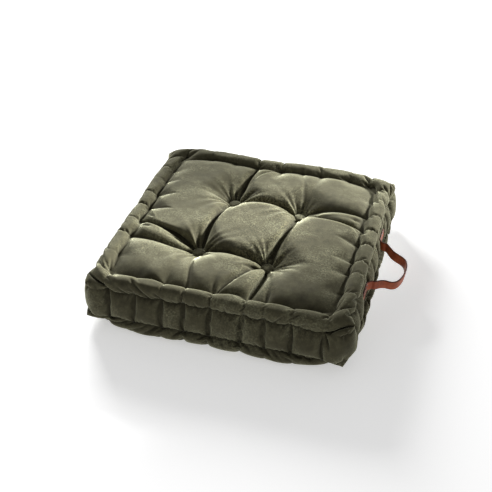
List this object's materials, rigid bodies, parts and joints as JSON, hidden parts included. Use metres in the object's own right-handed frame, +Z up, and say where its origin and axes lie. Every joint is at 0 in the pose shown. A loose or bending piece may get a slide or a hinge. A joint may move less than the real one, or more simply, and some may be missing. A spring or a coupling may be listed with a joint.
{
  "type": "floor cushion",
  "caption": "Square tufted floor cushion with covered buttons, hand-stitched rolled edges, a pleated side band and a leather strap handle on one side.",
  "frame": {"origin": "centre of the flat underside, on the floor", "axes": "+Z up, +X towards the side with the handle, -Y towards the front"},
  "size_m": [0.51, 0.45, 0.106],
  "materials": {
    "velvet": "cut pile with a soft sheen, olive green",
    "fibre_filling": "loose polyester fibre",
    "thread": "waxed thread, dyed to match the velvet",
    "twine": "twisted tufting twine",
    "button_metal": "pressed sheet",
    "backing_patch": "plain woven cotton",
    "strap_leather": "vegetable-tanned tan leather, dark edges"
  },
  "bodies": {
    "cushion": {"top_panel": "velvet", "bottom_panel": "velvet", "boxing_front": "velvet", "boxing_right": "velvet", "boxing_back": "velvet", "boxing_left": "velvet", "filling": "fibre_filling", "roll_stitching_top_front": "thread", "roll_stitching_top_right": "thread", "roll_stitching_top_back": "thread", "roll_stitching_top_left": "thread", "roll_stitching_bottom_front": "thread", "roll_stitching_bottom_right": "thread", "roll_stitching_bottom_back": "thread", "roll_stitching_bottom_left": "thread", "tuft_twine_1": "twine", "tuft_twine_2": "twine", "tuft_twine_3": "twine", "tuft_twine_4": "twine", "top_button_1_cover": "velvet", "top_button_1_shell": "button_metal", "top_button_1_back": "button_metal", "top_button_2_cover": "velvet", "top_button_2_shell": "button_metal", "top_button_2_back": "button_metal", "top_button_3_cover": "velvet", "top_button_3_shell": "button_metal", "top_button_3_back": "button_metal", "top_button_4_cover": "velvet", "top_button_4_shell": "button_metal", "top_button_4_back": "button_metal", "bottom_button_1_cover": "velvet", "bottom_button_1_shell": "button_metal", "bottom_button_1_back": "button_metal", "bottom_button_2_cover": "velvet", "bottom_button_2_shell": "button_metal", "bottom_button_2_back": "button_metal", "bottom_button_3_cover": "velvet", "bottom_button_3_shell": "button_metal", "bottom_button_3_back": "button_metal", "bottom_button_4_cover": "velvet", "bottom_button_4_shell": "button_metal", "bottom_button_4_back": "button_metal", "handle_tab_front": "strap_leather", "handle_tab_rear": "strap_leather", "handle_stitching_front": "thread", "handle_stitching_rear": "thread", "handle_patch_front": "backing_patch", "handle_patch_rear": "backing_patch"},
    "handle": {"handle_loop": "strap_leather"}
  },
  "joints": [
    {"name": "handle_swing", "type": "hinge", "parent": "cushion", "child": "handle", "pos_m": [0.2396, 0.011, 0.053], "axis": [0, 1, 0], "range_deg": [-60, 60]}
  ]
}
